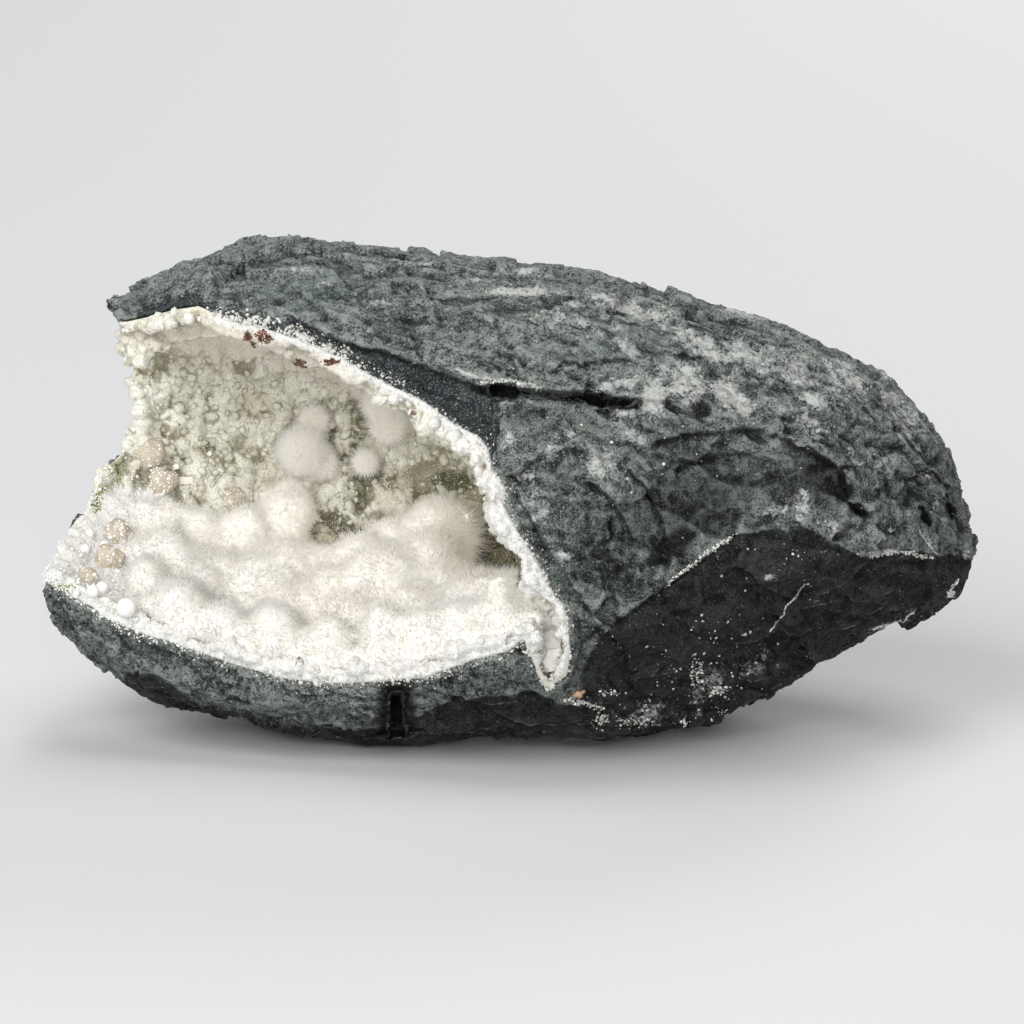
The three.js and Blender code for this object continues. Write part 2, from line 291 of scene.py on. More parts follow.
at[:, 2] = np.maximum(at[:, 2], 0)
move(rock, at)
# Painted shade in the sunken chips; with the painted shadow under the ledges it is stored for the
# material.
sunken = ramp(-middle_chips - 0.6 * small_chips, 0.1, 0.55)
paint(rock, "painted_hollow_shade", facing * np.maximum(under_ledge * ramp(free, 0, 0.6), 0.42 * sunken))
thin(rock, ROCK_TRIANGLES)

# Where the white bloom lies: x, y, half width, half height, turn and how thick it is.
BLOOM = [
    (3, 96.2, 8, 1, 0, 0.8), (4, 92, 11, 1.5, 0, 0.9), (22, 90.4, 7, 1.4, -6, 0.9),
    (14, 89.6, 3, 1.4, -10, 0.9), (18.4, 87, 3.4, 0.9, -25, 0.8), (21.6, 84.8, 1.6, 1, 0, 1),
    (18.2, 83.8, 1.5, 1.8, -30, 0.7), (23.6, 80.6, 4.2, 2, -35, 0.9), (33, 84.8, 6.5, 1, -18, 0.8),
    (41.6, 79, 7, 2, -6, 0.9), (31.6, 76, 3.2, 3, 0, 0.8), (29.4, 70.4, 3.4, 5.6, 0, 1),
    (21.6, 73.2, 7.4, 1.5, 12, 0.9), (0.3, 73.8, 7.4, 0.7, -10, 1.1), (-7.6, 75.4, 4, 0.7, -22, 1),
    (44.6, 70.8, 7, 4, -35, 0.9), (0.2, 62.2, 1.8, 2.6, -25, 0.9), (8.6, 60, 2, 3.4, -30, 0.8),
    (18.6, 57.6, 5, 3.8, 0, 0.8), (26.2, 62.4, 4.2, 1.5, -20, 0.9), (4.2, 54.8, 2.6, 2, -20, 0.9),
    (7, 48, 2, 3.6, -30, 0.9), (11.4, 39.4, 1.5, 1.6, 0, 1), (55.8, 83.8, 3, 0.7, 0, 0.8),
    (61, 70.4, 3.4, 2, -25, 1), (52.4, 73.6, 2.6, 2, 0, 0.7), (70.4, 72.4, 1.6, 3.4, 45, 0.8),
    (77.4, 70.4, 3.6, 2.6, -20, 1), (65, 82, 2.6, 1, -20, 0.6), (53, 80.8, 3, 0.5, 0, 0.7),
    (63.6, 78.4, 2.6, 1, -10, 0.5), (58.8, 61.2, 3.4, 0.7, -22, 0.9), (58.4, 49.4, 2.8, 4.6, 0, 0.8),
    (53.8, 48, 4, 1.5, 10, 0.8), (65.4, 44.6, 1.9, 2.6, -20, 0.7), (77, 44.4, 1.4, 0.7, 0, 0.9),
    (75, 39.9, 3.6, 0.8, 4, 1.1), (84.6, 42, 1, 3, 35, 0.8), (52, 35.2, 2, 1, 0, 0.6),
    (76.6, 25, 4.2, 0.7, 12, 0.9), (89.6, 31.8, 1.4, 1.4, 0, 1), (92.6, 39.4, 0.9, 1.3, 0, 1),
    (-40, 96.6, 6, 1.2, -5, 0.5), (-25, 89.4, 3.6, 1.2, -8, 0.9), (-60, 101, 8, 1, 10, 0.4),
    (-18, 97.6, 8, 1, 0, 0.6), (-4, 94.4, 6, 0.8, 0, 0.7), (38, 82, 9, 3, -20, 0.85),
    (48, 79, 9, 5, -30, 0.75), (36, 74, 6, 6, 0, 0.85), (26, 88, 12, 3, -12, 0.8),
    (58, 76, 9, 5, -30, 0.7), (68, 74, 8, 5, -35, 0.75), (80, 66, 5, 6, -45, 0.7),
    (48, 88, 10, 1.6, -14, 0.85), (64, 84, 8, 1.6, -22, 0.75), (76, 76, 5, 2, -35, 0.75),
    (12, 86, 10, 3, -8, 0.6), (60, 66, 9, 4, -25, 0.6), (12, 62, 3, 6, -20, 0.55),
    (5, 52, 3, 7, -20, 0.5), (24, 66, 6, 4, -30, 0.55), (84, 55, 4, 5, -40, 0.45),
    (40.6, 13, 3, 6, -30, 0.55), (28, 7, 7, 3, 0, 0.5), (50, 17, 6, 4, 20, 0.45), (-86, 86, 5, 2, 0, 0.5),
    (-80, 91, 4, 2, 20, 0.35), (-32, 94, 10, 2, 0, 0.25), (10, 100, 20, 3, 0, 0.4),
    (70, 58, 10, 5, -30, 0.35),
]
# Where it is greener than elsewhere.
GREENED = [
    (2, 66, 3, 5, 10, 1), (-40, 92, 16, 5, 0, 0.6), (20, 82, 12, 5, 0, 0.5), (-52, 96, 10, 4, 0, 0.5),
    (0, 45, 4, 12, 20, 0.8), (8, 36, 6, 6, 0, 0.5), (-60, 18, 20, 5, -15, 0.6), (0, 14, 12, 5, 0, 0.6),
]
# Painted shade: ovals where the stone is darkened as if in shade, on the underside right of
# the mouth, in hollows above it, down the cleft and along the crack right of the mouth's top.
SHADE_OVALS = [
    (36, 50, 24, 12, 25, 0.62), (62, 55, 8, 5, -40, 0.8), (20, 40, 12, 16, -40, 0.42),
    (13, 66, 14, 4, 0, 0.4), (34, 60, 15, 6, 10, 0.45), (-22, 6, 4.4, 14, 0, 1.5),
    (80, 50, 10, 10, 0, 0.2), (55, 54, 8, 7, 0, 0.5), (0, 72, 8, 1, -3, 1.6),
    (12, 70.9, 10, 1.1, -6, 1.6), (27, 69.8, 9, 1, 3, 1.3),
]


def patches(points, ovals):
    """How strongly a list of ovals covers each point."""
    shares = [thick * np.clip(patch(points, *oval) + 0.3, 0, 1) for *oval, thick in ovals]
    return np.max(shares, axis=0)


at = places(rock)
face = to_face(at)
across, up, _ = face.T
front = ramp(normals(rock) @ outward, -0.1, 0.2)
wander = cloud(face, 3, 3, 33.0)
band = under(face, BAND_TOP) + wander
off_rim = gap_to(lining_tree, at) + 1.2 * wander
below_ledge = ramp(band + wander, -0.6, 1.6) * (1 - ramp(across, -3.2, -2)) * ramp(up, 56, 60)
beside_rim = (1 - ramp(off_rim, 1.4, 3)) * ramp(across, -76, -72) * (1 - ramp(across, -40, -34))
# Painted shade: the underside right of the mouth, the stone under each undercut and the hollows.
underside_shade = ramp(under(face, DARK_TOP) + 0.7 * wander, -0.2, 0.6) * ramp(across, 13, 16)
undercut_shade = np.zeros(len(at))
for line in UNDERCUTS:
    reached = (across > line[0][0]) & (across < line[-1][0])
    below = under(face, line) + 0.7 * wander
    undercut_shade = np.maximum(undercut_shade, ramp(below, -0.3, 0.9) * reached)
hollow_shade = ramp(patches(face, [(*oval, 1) for *oval, _ in HOLLOWS]), 0.3, 0.8)
back_bloom = 0.55 * ramp(cloud(face, 17, 3, 70.0), 0.1, 0.5)
paint(rock, "bloom", front * patches(face, BLOOM) + (1 - front) * back_bloom)
paint(rock, "chilled", front * np.maximum(below_ledge * (across > -44), beside_rim * (up > 78)))
paint(rock, "greened", front * patches(face, GREENED) + (1 - front) * 0.5)
# Painted shade: darker towards the bottom of the face, as if lit from above. All of this painted shade is
# stored for the material, on the front only.
lower_shade = 0.22 * ramp(88 - up, 0, 42)
shade_parts = [underside_shade, 0.9 * undercut_shade, patches(face, SHADE_OVALS), 0.8 * hollow_shade, lower_shade]
paint(rock, "painted_shade", front * np.max(shade_parts, axis=0))
pitted = ramp(up + 0.19 * (across + 82) - 15.5 + wander, 0, 3) * (1 - ramp(up, 32, 40))
paint(rock, "porous", front * pitted * (1 - ramp(across, 6, 12)))


class Wire:
    """A socket in a material, so that its numbers can be reckoned with as in a sum."""

    def __init__(self, finish, socket):
        self.finish, self.socket = finish, socket

    def reckon(self, operation, *values):
        return self.finish.node("ShaderNodeMath", {"operation": operation}, *values)

    def __add__(self, other):
        return self.reckon("ADD", self, other)

    def __sub__(self, other):
        return self.reckon("SUBTRACT", self, other)

    def __rsub__(self, other):
        return self.reckon("SUBTRACT", other, self)

    def __mul__(self, other):
        return self.reckon("MULTIPLY", self, other)

    __radd__, __rmul__ = __add__, __mul__

    def other(self, name):
        """Another output of the node that this one comes from."""
        return Wire(self.finish, self.socket.node.outputs[name])

    def between(self, low, high):
        """0 at low, 1 at high and a smooth rise between."""
        return self.finish.node(
            "ShaderNodeMapRange", {"interpolation_type": "SMOOTHSTEP"},
            self, From_Min=low, From_Max=high)


class Finish:
    """A material on one Principled shader."""

    def __init__(self, name, **fixed):
        self.material = bpy.data.materials.new(name)
        self.material.use_nodes = True
        self.tree = self.material.node_tree
        self.shader = self.tree.nodes["Principled BSDF"]
        for socket, value in fixed.items():
            self.shader.inputs[socket.replace("_", " ")].default_value = value
        self.here = self.node("ShaderNodeTexCoord", {}, give="Object")

    def node(self, kind, settings, *values, give=0, **named):
        """Adds a node: its settings first, then the values or wires of its sockets."""
        made = self.tree.nodes.new(kind)
        for name, value in settings.items():
            setattr(made, name, value)
        for key, value in [*enumerate(values), *named.items()]:
            socket = made.inputs[key] if isinstance(key, int) else self.socket(made, key)
            if isinstance(value, Wire):
                self.tree.links.new(value.socket, socket)
            else:
                socket.default_value = value
        return Wire(self, made.outputs[give])

    def socket(self, made, key):
        spaced = key.replace("_", " ")
        return next(s for s in made.inputs if key == s.identifier or spaced in (s.identifier, s.name))

    def read(self, name):
        return self.node("ShaderNodeAttribute", {"attribute_name": name}, give="Fac")

    def grain(self, size, detail=3.0, roughness=0.6, distortion=0.0, where=None):
        """Noise with lumps of about a size in millimetres."""
        return self.node(
            "ShaderNodeTexNoise", {}, Vector=where or self.here, Scale=1000 / size, Detail=detail,
            Roughness=roughness, Distortion=distortion)

    def mix(self, share, one, other):
        """Goes from one colour to another."""
        return self.node(
            "ShaderNodeMix", {"data_type": "RGBA"}, Factor_Float=share, A_Color=one, B_Color=other,
            give=2)

    def lay(self, share, colour):
        """Lays a share of a colour over the base colour so far."""
        self.colour = self.mix(share, self.colour, colour)
        self.set("Base Color", self.colour)

    def mottle(self, grain, one, other, low=0.35, high=0.65):
        """Starts the base colour with two colours that a grain goes between."""
        self.colour = one
        self.lay(grain.between(low, high), other)

    def vector(self, operation, *values, give="Vector"):
        return self.node("ShaderNodeVectorMath", {"operation": operation}, *values, give=give)

    def cells(self, where, size):
        """The nearest of many scattered points: how far it is, as a share of their spacing."""
        return self.node("ShaderNodeTexVoronoi", {}, Vector=where, Scale=1000 / size, Randomness=1.0)

    def relief(self, height):
        """Bumps as high as a wire says, in millimetres."""
        normal = self.node("ShaderNodeBump", {}, Height=height, Distance=MM, Strength=1.0)
        self.tree.links.new(normal.socket, self.shader.inputs["Normal"])

    def set(self, socket, wire):
        self.tree.links.new(wire.socket, self.shader.inputs[socket])


def rgb(red, green, blue):
    return (red, green, blue, 1)


def finished(piece, finish):
    """Gives a piece its material and the body that it belongs to."""
    piece.data.materials.clear()
    piece.data.materials.append(finish.material)
    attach(piece, "root")


stone = Finish("basalt", Roughness=0.82, Specular_IOR_Level=0.3)
wide = stone.grain(24, 4)
feather = stone.grain(2.4, 6, 0.75, 0.5)
blotch = stone.grain(4, 5, 0.65)
fine = stone.grain(0.65, 4, 0.75)
speck = stone.grain(0.36, 1)
pore = stone.grain(1.0, 3, 0.7)
porous = stone.read("porous")
edge = stone.node("ShaderNodeNewGeometry", {}, give="Pointiness")
swirl = stone.grain(3, 3, 0.5).other("Color")
swirled = stone.vector("MULTIPLY_ADD", swirl, (0.0035, 0.0035, 0.0035), stone.here)
bed = stone.node(
    "ShaderNodeMapping", {"vector_type": "TEXTURE"}, swirled, Rotation=(0, -BED_TILT, 0),
    Scale=(2.2, 1, 1.2))


def flat_chips(size):
    """The height of flat chips of about a size, in millimetres, and a tone for each."""
    cell = stone.cells(bed, size)
    tint = cell.other("Color")
    tilt = stone.vector("SUBTRACT", tint, (0.5, 0.5, 0.5))
    reach = stone.vector("SUBTRACT", bed, cell.other("Position"))
    height = 1600 * stone.vector("DOT_PRODUCT", tilt, reach, give="Value")
    return height, stone.vector("DOT_PRODUCT", tint, (0, 1, 0), give="Value")


large_chip, large_tone = flat_chips(5.5)
small_chip, small_tone = flat_chips(1.9)
rugged = stone.grain(7, 9, where=bed)
pits = stone.cells(bed, 0.9)
# The tone takes in pointiness: ridges painted lighter and creases darker, a painted highlight and painted
# shade.
tone = (0.5 + 0.3 * (wide - 0.5) + 0.2 * (blotch - 0.5) + 0.9 * (fine - 0.5) + 0.9 * (speck - 0.5)
        + 3.0 * (edge - 0.5) + 0.14 * (large_tone - 0.5) + 0.14 * (small_tone - 0.5))
stone.mottle(tone, rgb(0.020, 0.025, 0.023), rgb(0.285, 0.312, 0.288), 0.22, 0.80)
stone.lay(porous * (1 - pore.between(0.36, 0.46)), rgb(0.020, 0.026, 0.024))
stone.lay(0.7 * porous * pore.between(0.56, 0.68), rgb(0.36, 0.38, 0.36))
stone.lay(0.75 * (1 - pits.between(0.10, 0.26)), rgb(0.016, 0.021, 0.019))
green_share = stone.read("greened") * (wide + 0.6 * (blotch - 0.5)).between(0.42, 0.62)
stone.lay(0.5 * green_share, rgb(0.070, 0.115, 0.098))
chilled = stone.mix(speck.between(0.5, 0.7), rgb(0.022, 0.028, 0.030), rgb(0.20, 0.22, 0.22))
chilled = stone.mix(feather.between(0.5, 0.7), chilled, rgb(0.10, 0.115, 0.11))
stone.lay(stone.read("chilled").between(0.3, 0.6), chilled)
# Painted shade: the stone is darkened where the stored painted shade and the painted shade under the
# ledges say, broken up by noise.
painted_shade = stone.read("painted_shade") + 0.6 * stone.read("painted_hollow_shade") + 0.35 * (fine - 0.5) + 0.25 * (feather - 0.5)
shaded = stone.vector("MULTIPLY", stone.colour, (0.060, 0.066, 0.060))
stone.lay(0.95 * painted_shade.between(0.0, 0.95), shaded)
# Painted glints: small light specks scattered through the painted shade.
stone.lay(0.6 * speck.between(0.62, 0.75) * painted_shade.between(0.3, 0.9), rgb(0.13, 0.14, 0.13))
veil = (0.9 * stone.read("bloom") + 1.1 * (blotch - 0.5) + 1.9 * (feather - 0.5) + 1.1 * (fine - 0.5)
        + 0.5 * (wide - 0.5))
stone.lay(0.85 * veil.between(0.37, 0.81), rgb(0.56, 0.57, 0.545))
dots = stone.cells(stone.here, 2.2)
dotted = (1 - dots.between(0.05, 0.13)) * stone.grain(9, 2).between(0.46, 0.6)
stone.lay(0.7 * dotted, rgb(0.62, 0.63, 0.60))
stone.relief(1.7 * rugged + 1.0 * large_chip + 0.9 * small_chip + 0.35 * fine + 0.18 * speck
             + 0.4 * porous * pore + 0.22 * pits.between(0.05, 0.3))
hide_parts("basalt_nodule")
finished(rock, stone)


# -------------------------------- zeolite specks
# Small white lumps of zeolite on the stone: short veins that fill cracks, clusters along the
# bottom right, and single grains all over. Each is a rounded grain grown on the surface.


def onto(tree, drawn):
    """Drops points of the face drawing onto a surface: places, its directions and which met it."""
    starts = from_face(np.column_stack([drawn, np.full(len(drawn), 90.0)]))
    hits = [tree.ray_cast(start, -outward) for start in starts.tolist()]
    met = np.array([hit[0] is not None for hit in hits])
    found = [hit for hit in hits if hit[0]]
    return np.array([hit[0] for hit in found]), np.array([hit[1] for hit in found]), met


def scatter(piece, count, rng, keep=None):
    """Random points spread evenly over a piece, or the part of it to keep to, and its directions."""
    piece.data.calc_loop_triangles()
    corners = gather(piece.data.loop_triangles, "vertices", np.int32)
    at = places(piece)
    if keep:
        corners = corners[keep(at)[corners].all(axis=1)]
    a, b, c = at[corners[:, 0]], at[corners[:, 1]], at[corners[:, 2]]
    crossed = np.cross(b - a, c - a)
    area = np.linalg.norm(crossed, axis=1)
    chosen = rng.choice(len(corners), count, p=area / area.sum())
    u, v = rng.random((2, count))
    flip = u + v > 1
    u, v = np.where(flip, (1 - u, 1 - v), (u, v))[:, :, None]
    ways = normals(piece)[corners[chosen, 0]]
    return a[chosen] + u * (b - a)[chosen] + v * (c - a)[chosen], ways


def spaced(points, sizes, overlap):
    """Picks points so that things of these sizes stand no closer than their overlap allows."""
    boxes, kept = {}, []
    width = 2 * sizes.max() * overlap
    for i, point in enumerate(points):
        x, y, z = (point // width).astype(int).tolist()
        near = [j for dx in (-1, 0, 1) for dy in (-1, 0, 1) for dz in (-1, 0, 1)
                for j in boxes.get((x + dx, y + dy, z + dz), ())]
        if all(np.linalg.norm(points[j] - point) > overlap * (sizes[i] + sizes[j]) for j in near):
            boxes.setdefault((x, y, z), []).append(i)
            kept.append(i)
    return np.array(kept)


def as_arrays(shape):
    """The vertices and triangles of a drawn shape, to be copied many times."""
    points = np.array([v.co for v in shape.verts])
    faces = np.array([[v.index for v in f.verts] for f in shape.faces])
    shape.free()
    return points, faces


def lump(divisions):
    """A small round lump of radius 1."""
    shape = bmesh.new()
    bmesh.ops.create_icosphere(shape, subdivisions=divisions, radius=1)
    return as_arrays(shape)


def spin(count, rng):
    """Random turns."""
    q = rng.normal(size=(count, 4))
    w, x, y, z = (q / np.linalg.norm(q, axis=1)[:, None]).T
    return np.stack([
        1 - 2 * (y * y + z * z), 2 * (x * y - w * z), 2 * (x * z + w * y),
        2 * (x * y + w * z), 1 - 2 * (x * x + z * z), 2 * (y * z - w * x),
        2 * (x * z - w * y), 2 * (y * z + w * x), 1 - 2 * (x * x + y * y)], 1).reshape(-1, 3, 3)


def along(ways, rng):
    """Turns that bring Z onto each way, with a random twist."""
    ways = ways / np.linalg.norm(ways, axis=1)[:, None]
    side = np.cross(ways, rng.normal(size=ways.shape))
    side /= np.linalg.norm(side, axis=1)[:, None]
    return np.stack([side, np.cross(ways, side), ways], 2)


def strew(name, shape, spots, turns, sizes):
    """One piece made of many copies of a shape, each with its own place, turn and size."""
    points, faces = shape
    sizes = np.broadcast_to(np.asarray(sizes, float).reshape(len(spots), -1), (len(spots), 3))
    placed = np.einsum("nij,nkj->nki", turns, points[None] * sizes[:, None]) + spots[:, None]
    corners = faces[None] + (np.arange(len(spots)) * len(points))[:, None, None]
    mesh = bpy.data.meshes.new(name)
    mesh.vertices.add(placed.shape[0] * placed.shape[1])
    mesh.loops.add(corners.size)
    mesh.polygons.add(corners.shape[0] * corners.shape[1])
    mesh.vertices.foreach_set("co", placed.astype(np.float32).ravel())
    mesh.loops.foreach_set("vertex_index", corners.astype(np.int32).ravel())
    mesh.polygons.foreach_set("loop_start", np.arange(0, corners.size, 3, dtype=np.int32))
    mesh.update(calc_edges=True)
    mesh.validate()
    mesh.shade_smooth()
    return linked(name, mesh)


# The veins' lines, with the half width of each.
VEINS = [
    ([(31.9, 33.4), (34, 35.2), (36.8, 37.6), (43, 41.8), (45.8, 43.5)], 0.3),
    ([(59.3, 33.4), (56, 29), (52.9, 23.8)], 0.12), ([(82.5, 44.4), (84, 41.6), (86.7, 39)], 0.1),
    ([(72.2, 38.9), (78, 40), (85.9, 38.7)], 0.3), ([(-5.3, 73.6), (0.9, 74.2), (6, 73)], 0.24),
    ([(74, 24.4), (80, 26), (82.6, 28)], 0.2), ([(88.8, 31), (91, 34.2)], 0.22),
    ([(12, 11.2), (16, 9.6), (19, 8.6)], 0.4),
]
# Clusters: x, y, half width, half height and how many grains.
CLUSTERS = [
    (42, 23.2, 3, 2, 8), (38, 15.5, 1.2, 3.6, 70), (42.4, 12, 2.2, 1, 100), (20.5, 11.8, 2.2, 0.5, 30),
    (19, 6.2, 1.6, 1.4, 60), (25.5, 5.8, 3.6, 1.2, 90), (28, 8.6, 0.8, 1.6, 30),
    (43.8, 7.6, 1.2, 0.6, 18), (35.6, 5.6, 1.4, 0.5, 18), (48, 23.8, 1, 1, 5), (40, 16, 14, 10, 110),
    (60, 40, 14, 8, 30), (20, 60, 24, 12, 40),
]
rock_tree = surface(rock)
rng = np.random.default_rng(5)
drawn, sizes = [], []
for line, half in VEINS:
    line = np.array(line, float)
    run = np.concatenate([[0], np.cumsum(np.linalg.norm(np.diff(line, axis=0), axis=1))])
    stops = np.linspace(0, run[-1], int(run[-1] / (0.35 * half)))
    traced = np.stack([np.interp(stops, run, line[:, 0]), np.interp(stops, run, line[:, 1])], 1)
    traced += clouds(np.pad(traced, ((0, 0), (0, 1))), 2.4, 2, (1.5, 8.5)) * 0.5
    drawn.append(traced + rng.normal(size=traced.shape) * 0.7 * half)
    sizes.append(half * (0.3 + 0.8 * rng.random(len(stops))))
for x, y, half_wide, half_high, count in CLUSTERS:
    drawn.append(rng.normal(size=(count, 2)) * (half_wide / 1.8, half_high / 1.8) + (x, y))
    sizes.append(0.1 + 0.32 * rng.random(count) ** 3)
spots, ways, met = onto(rock_tree, np.concatenate(drawn))
turns = along(ways, rng)
flattened = np.concatenate(sizes)[met][:, None] * (1.0, 1.0, 0.55)
specks = strew("zeolite_specks", lump(1), spots, turns,
               flattened * (0.8 + 0.4 * rng.random((len(spots), 3))) * MM)
zeolite = Finish("zeolite", Roughness=0.7)
zeolite.mottle(zeolite.grain(1.5, 2), rgb(0.45, 0.45, 0.41), rgb(0.80, 0.80, 0.76))
finished(specks, zeolite)

# A larger grain below the pocket, and three beside it, are stained orange.
spots, ways, _ = onto(rock_tree, np.array([(14.4, 11.6), (15.2, 12.1), (13.7, 11.4), (17.6, 9.4)]))
sizes = np.array([(1.0, 0.7, 0.5), (0.6, 0.6, 0.4), (0.6, 0.4, 0.3), (0.4, 0.3, 0.3)])
stained_grain = strew("stained_grain", lump(2), spots, along(ways, rng), sizes * MM)
amber = Finish("stained_zeolite", Roughness=0.6)
amber.mottle(amber.grain(1, 2), rgb(0.46, 0.25, 0.12), rgb(0.62, 0.42, 0.27))
finished(stained_grain, amber)


# -------------------------------- druse lining
# The vug's lining: a crust of tiny cream to pale green spheres that grew on the rock, a few
# millimetres thick. Its broken edge shows white and chalky all round the mouth.
LINING_VOXEL = 0.42 * MM
LINING_TRIANGLES = 190_000
rock_shape = merged_copy("basalt_nodule", "rock_shape")
rock_tree = surface(rock_shape)
bpy.data.objects.remove(rock_shape)


def bubbled(points, size, seed):
    """Round bubbles grown into each other, 0 to 1, and the creases between them."""
    found = [noise.voronoi(p)[0] for p in (points / size + seed).tolist()]
    nearest, second = np.array([distances[:2] for distances in found]).T
    return np.sqrt(np.clip(1 - (nearest / 0.85) ** 2, 0, 1)), 1 - ramp(second - nearest, 0.02, 0.2)


# The face of the break: three points on it in the face drawing.
BREAK = np.array([(-2, 75, 40.3), (-90, 75, 16.5), (-2, 20, 35.3)], float)
break_out = np.cross(BREAK[1] - BREAK[0], BREAK[2] - BREAK[0])
break_out /= np.linalg.norm(break_out)


def behind_break(face):
    """How far each point of the face drawing lies behind the break."""
    return (BREAK[0] - face) @ break_out


# Where the lining is smoother: a strip of bare shell at the upper right, and a blush at the top.
SMOOTHER = [(-13, 67.4, 8, 2, -38, 1), (-55, 83, 20, 4.5, -3, 0.7), (-34, 76, 10, 3.4, -25, 0.6)]
BLUSH = [(-55, 83, 22, 6, -3, 1), (-34, 76, 12, 4.5, -25, 0.9), (-13, 67.4, 8, 2, -38, 0.4)]
WHITENED = (-78, 38, 18, 18)     # on the left of the floor the lining is white and flatter

lining = lining_shape
lining.name = "druse_lining_bubbled"
even_out(lining, LINING_VOXEL, 4)
at = places(lining)
face = to_face(at)
away = gap_to(rock_tree, at)
inner = ramp(away, 0.7, 1.8) * (1 - 0.85 * ramp(patches(face, SMOOTHER), 0.2, 0.8))
warped = face + 0.9 * clouds(face, 3.5, 3, (2.2, 12.2, 22.2))
swell = cloud(face, 6.5, 3, 4.0)
large, large_crease = bubbled(warped, 3.6, 0.0)
middle, middle_crease = bubbled(warped, 1.9, 9.0)
small, _ = bubbled(warped, 1.0, 19.0)
lift = 1.9 * large + 0.6 * middle + 0.2 * small - 0.3 * large_crease - 1.5 + 2.6 * swell
lift *= 1 - 0.6 * ramp(patch(face, *WHITENED), 0, 0.3)
edge_share = 1 - ramp(behind_break(face), 0.8, 3)
lift = inner * lift + 0.65 * ramp(away, 0.3, 0.8) * edge_share * cloud(face, 1.4, 4, 14.0)
lift += 0.4 * edge_share * (1 - ramp(away, 0.5, 1.4))
push(lining, lift)
# Painted shade in the creases between the bubbles and the low ground between the swells, less on the
# bubbles' tops.
creases = 0.5 * large_crease + 0.4 * middle_crease + 0.9 * ramp(-swell, 0.05, 0.4)
paint(lining, "painted_crease_shade", inner * (creases - 0.3 * large))
thin(lining, LINING_TRIANGLES)

# Pockets between the spheres where the druse is olive and darkened with painted shade, such
# as the gap behind the mouth's right edge, and where iron has stained it.
OLIVE_AND_SHADE = [
    (-67, 59, 3.4, 2, 0, 1), (-60.6, 61, 3.2, 1.8, 0, 1), (-24.6, 55, 3, 3, -30, 1.2),
    (-11, 54, 4.6, 2.4, -5, 1.2), (-33, 50, 9, 5, 0, 0.6), (-37, 44, 10, 5, 0, 1), (-31, 58, 4, 6, 30, 1),
    (-38.6, 66, 6, 3, -35, 0.8), (-53, 71, 14, 6, 0, 0.35), (-16, 50, 14, 6, 0, 0.35),
    (-0.6, 39.5, 5.5, 8, 20, 3.6), (-42, 62, 5, 3, 0, 1.2), (-30.6, 66, 2.6, 6, 20, 1.3),
]
STAINED = [
    (-51.5, 83, 1.2, 1.1, 0, 1), (-48, 82.4, 2.2, 1.2, 0, 1), (-41, 77.8, 1.6, 0.6, 0, 1),
    (-35, 77.6, 2, 0.6, 10, 1), (-23.8, 73.8, 0.8, 0.6, 0, 0.8), (-18.5, 67.6, 1, 0.8, 0, 0.8),
]


def stain(piece, face):
    """Paints where the druse is olive and in painted shade, where it is stained and where blushed."""
    for name, ovals in (("olive_and_shade", OLIVE_AND_SHADE), ("stained", STAINED), ("blush", BLUSH)):
        paint(piece, name, patches(face, ovals))


at = places(lining)
face = to_face(at)
behind = behind_break(face)
chalk_left = ramp(patch(face, *WHITENED), 0, 0.3)
upper = ramp(face[:, 1], 50, 62)
at_edge = 1 - ramp(behind, 0.2, 2.6 - 1.4 * upper)
at_edge *= 1 - upper * ramp(gap_to(rock_tree, at), 1.0, 2.0)
chalk_front = (1 - ramp(behind, 4, 8)) * ramp(32 - face[:, 1], 0, 6)
bare_strip = 1.2 * patches(face, SMOOTHER[:1])
paint(lining, "rim", np.max([at_edge, chalk_left, chalk_front, bare_strip], axis=0))
stain(lining, face)

druse = Finish("druse", Specular_IOR_Level=0.5)
soft = druse.grain(8, 3)
crumb = druse.grain(0.6, 3, 0.75)
sugar = druse.cells(druse.here, 0.42)
glint = druse.grain(0.2, 0)
tone = soft + 0.8 * (crumb - 0.5) + 0.35 * (0.45 - sugar)
druse.mottle(tone, rgb(0.66, 0.635, 0.51), rgb(0.91, 0.895, 0.815), 0.25, 0.72)
olive_and_shade = druse.read("olive_and_shade")
# Painted shade, olive-tinted, in the creases between the spheres.
deep = druse.read("painted_crease_shade") + 0.3 * (0.45 - crumb)
druse.lay(0.85 * deep.between(0.12, 0.9), rgb(0.26, 0.24, 0.13))
# The olive pockets: first their own olive colour, then painted shade where they lie deep.
druse.lay(0.5 * olive_and_shade, rgb(0.36, 0.335, 0.19))
druse.lay(0.8 * (olive_and_shade * (0.35 + deep)).between(0.15, 0.8), rgb(0.075, 0.066, 0.026))
druse.lay(0.6 * druse.read("blush"), rgb(0.66, 0.585, 0.50))
druse.lay((druse.read("rim") + 0.7 * (crumb - 0.5)).between(0.35, 0.8), rgb(0.76, 0.75, 0.71))
druse.lay((druse.read("stained") + 0.9 * (crumb - 0.5)).between(0.4, 0.65), rgb(0.10, 0.035, 0.015))
druse.lay(0.8 * glint.between(0.64, 0.72), rgb(0.95, 0.95, 0.90))
druse.set("Roughness", 0.6 - 0.4 * glint.between(0.6, 0.7))
druse.relief(0.35 * crumb - 0.16 * sugar + 0.06 * glint)
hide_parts("druse_lining")
finished(lining, druse)


# -------------------------------- druse spheres
# The spheres that stand out of the lining, grown into each other, over all of its wall that
# the okenite leaves bare. Fine crystals crust them, which is what glitters.
SPHERES = 1600
SPOTS_TRIED = 16_000
okenite_shape = merged_copy("okenite_floor_mass", "okenite_shape")
okenite_tree = surface(okenite_shape)
rng = np.random.default_rng(11)


